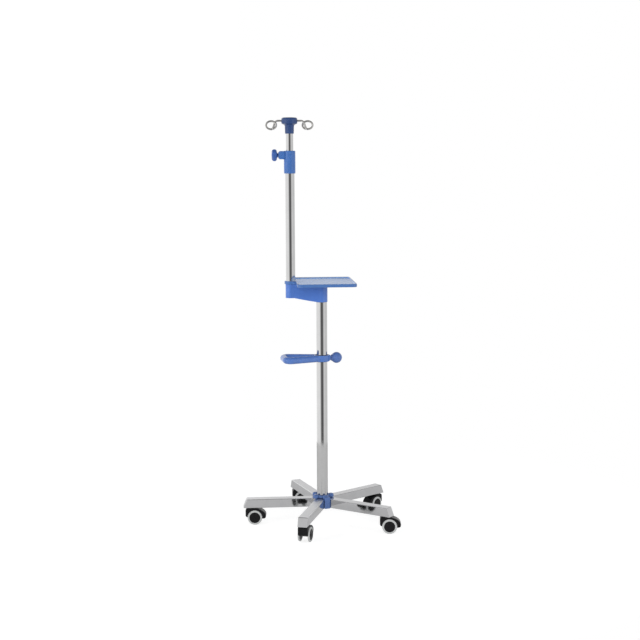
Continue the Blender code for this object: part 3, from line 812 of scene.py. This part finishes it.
cap_black = running_gear("cap_black", (0.008, 0.008, 0.009), 0.22, 0.03, 0.000008)
tread_grey = running_gear("tread_grey", (0.50, 0.51, 0.51), 0.50, 0.20, 0.00002, (0.20, 0.19, 0.18))
wheel_mesh, tyre_mesh = make_wheel_mesh(), make_tyre_mesh()
for number in range(1, 6):
    for side in "ab":
        axle_at = joint(f"caster_{number}_roll_{side}")["pos_m"]
        turn = caster_turn(number) + (0 if side == "a" else pi)
        body = f"caster_{number}_wheel_{side}"
        wheel = stand_copy(f"wheel_{number}_{side}", wheel_mesh, axle_at, turn, 40)
        tyre = stand_copy(f"tread_{number}_{side}", tyre_mesh, axle_at, turn, 40)
        finish_piece(wheel, cap_black, body, "black_plastic", body)
        finish_piece(tyre, tread_grey, body, "tread_rubber", f"caster_{number}_tyre_{side}")

# ----
# Lower tube. 38 mm steel tube with a 2 mm wall, drawn, polished and chromed. It stands on the
# hub inside the cover, and the bracket's spigot is pressed into its top.


def stand_tube(name, node, wall, finish, body, facets=96):
    """A tube in place of its CAD node, with its cut ends broken."""
    low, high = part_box(node)
    radius = (high.x - low.x) / 2
    work = turned_ring(radius, radius - wall, low.z, high.z, 0.0006, 3, facets)
    tube = solid_from(name, work, 40)
    tube.location = along_axis(node)
    finish_piece(tube, finish, body, "chrome_tube", node)


tube_wall = 0.002
tube_chrome = polished_metal("tube_chrome", (0.68, 0.68, 0.68), 0.05, 0.03, (1, 1, 0.01))
stand_tube("chromed_lower_tube", "lower_tube", tube_wall, tube_chrome, "stand")

# ----
# Handle liner. A split black nylon ring between the tube and the handle's clamp, with a narrow
# lip that shows above and below it. It slides on the chrome.


def make_liner():
    low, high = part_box("handle_liner")
    wall, outer = 0.0014, (high.x - low.x) / 2
    work = turned_ring(outer, outer - wall, low.z, high.z, 0.0004, 2, 72)
    liner = solid_from("handle_liner_ring", work, 40)
    liner.location = along_axis("handle_liner")
    return liner


liner_black = moulded_plastic("liner_black", (0.014, 0.014, 0.015), 0.38, 60.0)
finish_piece(make_liner(), liner_black, "handle_liner", "black_plastic", "handle_liner")

# ----
# Push handle. One glossy blue moulding: a clamp round the tube and a loop of 23 mm bar, which
# runs out, across and back, with a boss for the clamp screw on the other side.

handle_at = Vector(joint("handle_turn")["pos_m"])
knob_axis = Vector(joint("handle_knob_turn")["axis"])
handle_turn = atan2(-knob_axis.y, -knob_axis.x)
bar_radius, bar_reach, bar_half_width = 0.0115, 0.1270, 0.040


def bar_along(path, radius, sides, round_ends=False):
    """A bmesh of a round bar along points, with its rings carried on from one to the next."""
    work = bmesh.new()
    points = [Vector(p) for p in path]
    ways = []
    for i in range(len(points)):
        ways.append((points[min(i + 1, len(points) - 1)] - points[max(i - 1, 0)]).normalized())
    up = Vector((0, 0, 1)) if abs(ways[0].z) < 0.9 else Vector((1, 0, 0))
    rings = []

    def ring(centre, way, up_here, size):
        side = way.cross(up_here).normalized()
        top = side.cross(way)
        turns = [tau * k / sides for k in range(sides)]
        return [work.verts.new(centre + (side * cos(t) + top * sin(t)) * size) for t in turns]

    tilts = [k * pi / 8 for k in (1, 2, 3)] if round_ends else []
    for tilt in reversed(tilts):
        back = ways[0] * (radius * sin(tilt))
        rings.append(ring(points[0] - back, ways[0], up, radius * cos(tilt)))
    for point, way in zip(points, ways):
        up = (up - way * up.dot(way)).normalized()
        rings.append(ring(point, way, up, radius))
    for tilt in tilts:
        on = ways[-1] * (radius * sin(tilt))
        rings.append(ring(points[-1] + on, ways[-1], up, radius * cos(tilt)))
    for first, second in zip(rings, rings[1:]):
        for k in range(sides):
            m = (k + 1) % sides
            work.faces.new((first[k], first[m], second[m], second[k]))
    work.faces.new(reversed(rings[0]))
    work.faces.new(rings[-1])
    return work


def smooth_path(points, per_gap):
    """Points on a smooth line through the given ones."""
    given = [Vector(p) for p in points]
    run = [given[0] * 2 - given[1]] + given + [given[-1] * 2 - given[-2]]
    path = []
    for a, b, c, d in zip(run, run[1:], run[2:], run[3:]):
        for k in range(per_gap):
            t = k / per_gap
            path.append(
                0.5 * (2 * b + (c - a) * t + (2 * a - 5 * b + 4 * c - d) * t**2)
                + 0.5 * (3 * b - a - 3 * c + d) * t**3
            )
    return path + [given[-1]]


def make_handle():
    corner, lean = 0.016, 12
    centre = (bar_reach - corner, bar_half_width - corner)
    half = [(0.012, 0.0118), (0.026, 0.0165), (0.050, 0.0232), (0.075, 0.0305)]
    half += arc_points(centre, corner, corner, 90 + lean, 0, 14)
    path = [(x, -y, 0) for x, y in half] + [(x, y, 0) for x, y in reversed(half)]
    work = bar_along(path, bar_radius, 32)
    clamp_outer, clamp_inner, clamp_half = 0.0262, 0.0210, 0.0108
    clamp = turned_ring(clamp_outer, clamp_inner, -clamp_half, clamp_half, 0.0018, 4, 80)
    add_work(work, clamp)
    boss_end, boss_root = 0.0305, 0.0215
    boss = [(0, boss_end), (0.0062, boss_end), (0.0085, 0.0298), (0.0115, 0.0250)]
    boss += [(0.0118, boss_root), (0, boss_root)]
    boss = turned(eased(boss, 0.0010, 3), 48)
    add_work(work, boss, Matrix.Rotation(-pi / 2, 4, "Y"))
    handle = solid_from("push_handle", work, 50)
    liner_room = solid_from("liner_room", turned_block(clamp_inner, 0.03, -0.03, 80))
    # The bar, the clamp and the boss overlap, and the cut makes one skin of them.
    return carved("push_handle_moulding", handle, [liner_room], sharp=40, overlapping=True)


handle_blue = moulded_plastic("handle_blue", (0.088, 0.185, 0.50), 0.22, 30.0)
handle = make_handle()
stand_at(handle, handle_at, handle_turn)
finish_piece(handle, handle_blue, "handle", "blue_plastic", "handle")

# ----
# Handle knob and screw. A blue ball, moulded on the head of a zinc-plated clamp screw, with a
# short neck and a faint parting line round its middle.


def make_ball_knob():
    radius, centre, neck_low = 0.0188, 0.0510, 0.0316
    profile = [(0, centre + radius)]
    profile += [(0.0040, centre + radius - 0.0002)]
    profile += arc_points((0, centre), radius, radius, 74, 3, 16)
    profile += [(radius + 0.0001, centre + 0.0004), (radius + 0.0001, centre - 0.0004)]
    profile += arc_points((0, centre), radius, radius, -3, -52, 14)
    profile += [(0.0108, neck_low + 0.0022), (0.0092, neck_low), (0.0038, neck_low)]
    profile += [(0.0038, 0.0503), (0, 0.0503)]
    work = turned(profile, 72)
    work.transform(Matrix.Rotation(pi / 2, 4, "Y"))
    return solid_from("ball_knob", work, 30)


ball = make_ball_knob()
stand_at(ball, handle_at, atan2(knob_axis.y, knob_axis.x))
ball_blue = moulded_plastic("ball_blue", (0.085, 0.160, 0.42), 0.28, 40.0)
finish_piece(ball, ball_blue, "handle_knob", "blue_plastic", "handle_knob")
coat_nodes(bolt_zinc, "steel", "handle_screw")

# ----
# Bracket. A deep blue moulding that carries the mast to one side of the lower tube. It has a
# round boss on each tube, flat cheeks between them and a sloping underside.

mast_foot = along_axis("upper_tube")
mast_offset = mast_foot.x - pole_foot.x
bracket_low, bracket_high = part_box("bracket")
bracket_top, foot_right, foot_left = 0.8253, 0.7643, 0.7789


def make_bracket():
    right, left, cheek_right, cheek_left = 0.0205, 0.0172, 0.0182, 0.0150
    steps = 30
    right_arc = arc_points((0, 0), right, right, -90, 90, steps)
    left_arc = arc_points((mast_offset, 0), left, left, 90, 270, steps)
    # The cheeks stand a little inside the bosses, so that each boss shows as an upright roll.
    dip = [(-0.0100, 0.0186), (-0.0135, cheek_right), (-0.050, 0.0168)]
    dip += [(mast_offset + 0.0105, cheek_left), (mast_offset + 0.0075, 0.0158)]
    outline = right_arc + dip + left_arc + [(x, -y) for x, y in reversed(dip)]
    ramp_right, ramp_left = -0.026, -0.082
    work, foot = bmesh.new(), []
    for x, y in outline:
        share = min(max((ramp_right - x) / (ramp_right - ramp_left), 0.0), 1.0)
        z = foot_right + (foot_left - foot_right) * share
        foot.append(work.verts.new((x, y, z)))
    top = [work.verts.new((x, y, bracket_top)) for x, y in outline]
    count = len(outline)
    for i in range(count):
        j = (i + 1) % count
        work.faces.new((foot[i], foot[j], top[j], top[i]))
    work.faces.new(top)
    bmesh.ops.contextual_create(work, geom=foot)
    bmesh.ops.triangulate(work, faces=[f for f in work.faces if len(f.verts) > 4])
    rims = [e for e in work.edges if abs(e.calc_face_angle(0.0)) > radians(60)]
    ease_edges(work, rims, 0.0012, 3)
    for centre, radius, low, high in (
        ((0, 0), 0.0167, bracket_low.z, foot_right + 0.002),
        ((mast_offset, 0), 0.0137, bracket_top - 0.002, bracket_high.z),
    ):
        spigot = eased([(0, high), (radius, high), (radius, low), (0, low)], 0.0008, 3)
        add_work(work, turned(spigot, 64), Matrix.Translation((*centre, 0)))
    bracket = solid_from("bracket_moulding", work, 35)
    bracket.location = pole_foot
    return bracket


bracket_blue = moulded_plastic("bracket_blue", (0.082, 0.190, 0.56), 0.22, 18.0)
finish_piece(make_bracket(), bracket_blue, "stand", "blue_plastic", "bracket")

# ----
# Tray. A shallow blue moulding with rounded corners and a low lip all round. Its floor is painted a
# paler blue, a painted reflection of the bright walls, and its rear lip is painted a pale grey, a
# painted highlight along it. A tongue on the left goes round the mast.

tray_left, tray_right, tray_half_depth, tray_wall, tray_floor = -0.088, 0.108, 0.145, 0.004, 0.8325


def tray_edge(left, right, half_depth, corner):
    x_right, x_left, y = right - corner, left + corner, half_depth - corner
    edge = []
    for k, centre in enumerate([(x_right, y), (x_left, y), (x_left, -y), (x_right, -y)]):
        edge += arc_points(centre, corner, corner, 90 * k, 90 * (k + 1), 10)
    return edge


def make_tray():
    low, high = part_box("tray")
    corner, wall, floor = 0.016, tray_wall, tray_floor
    underside, top = low.z, high.z
    work = bmesh.new()
    # Rings from the underside, round the lip and down to the floor inside.
    offsets = [
        (0.0040, underside),
        (0.0012, underside),
        (0.0003, underside + 0.0006),
        (0.0, underside + 0.0018),
        (0.0, top - 0.0014),
        (0.0004, top - 0.0004),
        (0.0014, top),
        (wall - 0.0014, top),
        (wall - 0.0005, top - 0.0004),
        (wall, top - 0.0012),
        (wall + 0.0001, floor + 0.0014),
        (wall + 0.0006, floor + 0.0005),
        (wall + 0.0016, floor),
    ]
    rings = []
    for inset, z in offsets:
        left, right, half_depth = tray_left + inset, tray_right - inset, tray_half_depth - inset
        edge = tray_edge(left, right, half_depth, corner - min(inset, 0.012))
        rings.append([work.verts.new((x, y, z)) for x, y in edge])
    for first, second in zip(rings, rings[1:]):
        for i in range(len(first)):
            j = (i + 1) % len(first)
            work.faces.new((first[i], first[j], second[j], second[i]))
    work.faces.new(reversed(rings[0]))
    work.faces.new(rings[-1])
    tray = solid_from("tray", work)
    tongue_radius, inner = 0.0205, tray_left + wall * 0.75
    arc = arc_points((mast_offset, 0), tongue_radius, tongue_radius, 90, 270, 30)
    outline = arc + [(inner, -tongue_radius), (inner, tongue_radius)]
    tongue = slab(outline, underside, top)
    free_end = tray_left - 0.001
    rims = [e for e in sharp_edges(tongue, 60) if min(v.co.x for v in e.verts) < free_end]
    ease_edges(tongue, rims, 0.0013, 4)
    tongue = solid_from("tongue", tongue)
    room = solid_from("mast_room", turned_block(0.0163, top + 0.01, underside - 0.01, 64))
    room.location = (mast_offset, 0, 0)
    tray = carved("tray_moulding", tray, [room], [tongue])
    tray.location = pole_foot
    return tray


tray_blue = moulded_plastic("tray_blue", (0.070, 0.165, 0.42), 0.24, 14.0, 0.10)
# The floor's paler blue is a painted reflection of the bright walls, which the floor faces at a low
# angle.
painted_tray_reflection = moulded_plastic("painted_tray_reflection", (0.22, 0.44, 0.92), 0.24, 9.0, 0.08, 0.00001)
# The rear lip's pale grey is a painted highlight along its top.
painted_rim_highlight = moulded_plastic("painted_rim_highlight", (0.26, 0.32, 0.42), 0.26, 14.0, 0.10)
tray = make_tray()
finish_piece(tray, tray_blue, "stand", "blue_plastic", "tray")
tray.data.materials.append(painted_tray_reflection)
tray.data.materials.append(painted_rim_highlight)
inside = tray_wall - 0.0005
# Faces of the tray's floor get the painted reflection, and faces along the rear lip get the painted
# highlight.
for face in tray.data.polygons:
    x, y, z = face.center
    above_floor = z - tray_floor
    if face.normal.z <= -0.1 or not tray_left + inside < x < tray_right - inside:
        continue
    if 0.0012 < tray_half_depth - y < 0.0050 and above_floor > 0.0010:
        face.material_index = 2
    elif abs(y) < tray_half_depth - inside and -0.0005 < above_floor < 0.0025:
        face.material_index = 1

# ----
# Mast. 32 mm chromed steel tube, stood on the bracket's spigot and through the tray's tongue.
# Its top ends inside the locking collar.

mast_chrome = polished_metal("mast_chrome", (0.68, 0.68, 0.68), 0.05, 0.03, (1, 1, 0.01))
stand_tube("chromed_mast", "upper_tube", tube_wall, mast_chrome, "stand")

# ----
# Locking collar. A blue sleeve pushed over the top of the mast, with an arm to the left that
# holds the lock screw. A ledge in its top closes the mast round the sliding rod.

lock_at = Vector(joint("lock_knob_turn")["pos_m"])


def make_collar():
    low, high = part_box("lock_collar")
    radius, ledge, tube_room, rod_room = 0.01925, 1.2475, 0.0163, 0.0128
    profile = [
        (rod_room, high.z - 0.0006),
        (rod_room + 0.0008, high.z),
        (radius - 0.0016, high.z),
        (radius, high.z - 0.0016),
        (radius, low.z + 0.0042),
        (radius - 0.0004, low.z + 0.0034),
        (radius - 0.0004, low.z + 0.0012),
        (radius - 0.0014, low.z),
        (tube_room, low.z),
        (tube_room, ledge),
        (rod_room, ledge),
    ]
    work = turned(eased(profile, 0.0005, 3, closed=True), 80, ring=True)
    sleeve = solid_from("sleeve", work)
    half_height, half_width, reach, nose = 0.0135, 0.0128, 0.038, 0.0045
    root, arm_top, arm_low = -0.0165, lock_at.z + half_height, lock_at.z - half_height
    arm = [
        (root, arm_top),
        (-reach + nose, arm_top),
        (-reach, arm_top - nose),
        (-reach, arm_low + nose),
        (-reach + nose, arm_low),
        (root, arm_low),
    ]
    work = slab(arm, -half_width, half_width, "Y")
    rims = [e for e in sharp_edges(work, 25) if min(v.co.x for v in e.verts) < -0.017]
    ease_edges(work, rims, 0.0022, 4)
    arm = solid_from("arm", work)
    screw_room = turned_block(0.0043, 0.05, 0.008, 32)
    screw_room.transform(Matrix.Translation((0, 0, lock_at.z)) @ Matrix.Rotation(-pi / 2, 4, "Y"))
    screw_room = solid_from("screw_room", screw_room)
    collar = carved("collar_moulding", sleeve, [screw_room], [arm])
    collar.location = mast_foot
    return collar


collar_blue = moulded_plastic("collar_blue", (0.052, 0.150, 0.43), 0.28, 34.0)
finish_piece(make_collar(), collar_blue, "stand", "blue_plastic", "lock_collar")

# ----
# Lock knob and screw. A blue hand knob with six rounded grips, moulded on a zinc-plated screw
# that presses on the rod through the collar's arm.


def make_lock_knob():
    face, neck, facets, grips = 0.0600, 0.0387, 96, 6
    profile = [
        (0, face),
        (0.0100, face - 0.0002),
        (0.0150, face - 0.0012),
        (0.0182, face - 0.0036),
        (0.0197, face - 0.0075),
        (0.0197, face - 0.0110),
        (0.0185, face - 0.0145),
        (0.0150, face - 0.0172),
        (0.0090, face - 0.0186),
        (0.0069, face - 0.0198),
        (0.0066, neck),
    ]
    back = [(0.0044, neck), (0.0044, 0.0543), (0, 0.0543)]
    work = turned(eased(profile, 0.0014, 3) + back, facets)
    # The grips: the rim is drawn in between them.
    for vert in work.verts:
        reach = Vector((vert.co.x, vert.co.y)).length
        share = min(max((reach - 0.0080) / 0.0080, 0.0), 1.0)
        wave = 0.5 - 0.5 * cos(grips * atan2(vert.co.y, vert.co.x))
        scale = 1 - 0.15 * share * wave**2
        vert.co.x *= scale
        vert.co.y *= scale
    work.transform(Matrix.Rotation(-pi / 2, 4, "Y"))
    return solid_from("star_knob", work, 40)


star_knob = make_lock_knob()
star_knob.location = lock_at
knob_blue = moulded_plastic("knob_blue", (0.040, 0.110, 0.36), 0.28, 50.0)
finish_piece(star_knob, knob_blue, "lock_knob", "blue_plastic", "lock_knob")
coat_nodes(bolt_zinc, "steel", "lock_screw")

# ----
# Rod and its guide. 25 mm chromed tube that slides and turns in the mast. A white nylon guide
# on its foot fits the mast's bore and stays inside it.

nylon_white = moulded_plastic("nylon_white", (0.75, 0.75, 0.72), 0.45, 80.0)
rod_wall = 0.0015
rod_chrome = polished_metal("rod_chrome", (0.68, 0.68, 0.68), 0.05, 0.03, (1, 1, 0.01))
stand_tube("chromed_rod", "extension_rod", rod_wall, rod_chrome, "rod", 80)
coat_nodes(nylon_white, "white_plastic", "rod_guide")

# ----
# Hook head. A blue cap on the rod: a round block with eased edges over a narrower neck, with a
# bore on each side for the hooks and a shallow dish in its top.

head_low, head_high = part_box("hook_head")
wire_radius = 0.0033
hook_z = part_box("hook_right")[1].z - wire_radius


def make_head():
    wide, top, bottom, bore, rod_top = 0.0267, head_high.z, head_low.z, 0.0128, 1.3653
    profile = [
        (0, top - 0.0010),
        (wide - 0.0110, top - 0.0010),
        (wide - 0.0085, top),
        (wide - 0.0040, top),
        (wide - 0.0008, top - 0.0024),
        (wide, top - 0.0055),
        (wide, top - 0.0170),
        (wide - 0.0012, top - 0.0200),
        (0.0170, top - 0.0238),
        (0.0153, top - 0.0280),
        (0.0147, bottom + 0.0015),
        (0.0140, bottom),
        (bore, bottom),
        (bore, rod_top),
        (0, rod_top),
    ]
    work = turned(eased(profile, 0.0014, 4), 80)
    head = solid_from("head", work)
    room = turned_block(0.0035, 0.035, -0.035, 32)
    room.transform(Matrix.Translation((0, 0, hook_z)) @ Matrix.Rotation(pi / 2, 4, "Y"))
    room = solid_from("hook_room", room)
    head = carved("head_moulding", head, [room])
    head.location = mast_foot
    return head


# The head's blue is darkened below the collar's to paint the dimmer light at the top of the stand:
# painted shade.
head_painted_shade_blue = moulded_plastic("head_painted_shade_blue", (0.024, 0.058, 0.175), 0.30, 44.0)
finish_piece(make_head(), head_painted_shade_blue, "rod", "blue_plastic", "hook_head")

# ----
# Hooks. 6.6 mm polished wire, pushed into the head on each side. Each runs straight out, dips
# and goes once round behind itself, so that a bag's eye can't jump off.


def make_hook(name, turn):
    loop_x, loop_z, across, tall = 0.0606, 1.3542, 0.0166, 0.0131
    path = [(0.0170, 0, hook_z), (0.024, 0, hook_z), (0.031, 0, hook_z), (0.0385, -0.0010, hook_z)]
    path += [(0.0424, -0.0022, hook_z - 0.0010), (0.0461, -0.0034, hook_z - 0.0037)]
    path += [(0.0492, -0.0043, hook_z - 0.0082), (0.0511, -0.0049, hook_z - 0.0137)]
    path += [(0.0530, -0.0054, hook_z - 0.0195), (0.0555, -0.0058, hook_z - 0.0245)]
    first, last, steps, lead = 262, 605, 21, 0.0132
    for i, (x, z) in enumerate(arc_points((loop_x, loop_z), across, tall, first, last, steps)):
        path.append((x, -0.0060 + lead * i / steps, z))
    work = bar_along(smooth_path(path, 4), wire_radius, 20, round_ends=True)
    hook = solid_from(name, work, 40)
    stand_at(hook, mast_foot, turn)
    return hook


hook_steel = polished_metal("hook_steel", (0.62, 0.61, 0.59), 0.14, 0.10, (0.1, 1, 1))
finish_piece(make_hook("bag_hook_right", 0), hook_steel, "rod", "hook_wire", "hook_right")
finish_piece(make_hook("bag_hook_left", pi), hook_steel, "rod", "hook_wire", "hook_left")

sizes = {"cad": cad_box, "visual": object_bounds()}
sizes = {label: [list(corner) for corner in box] for label, box in sizes.items()}
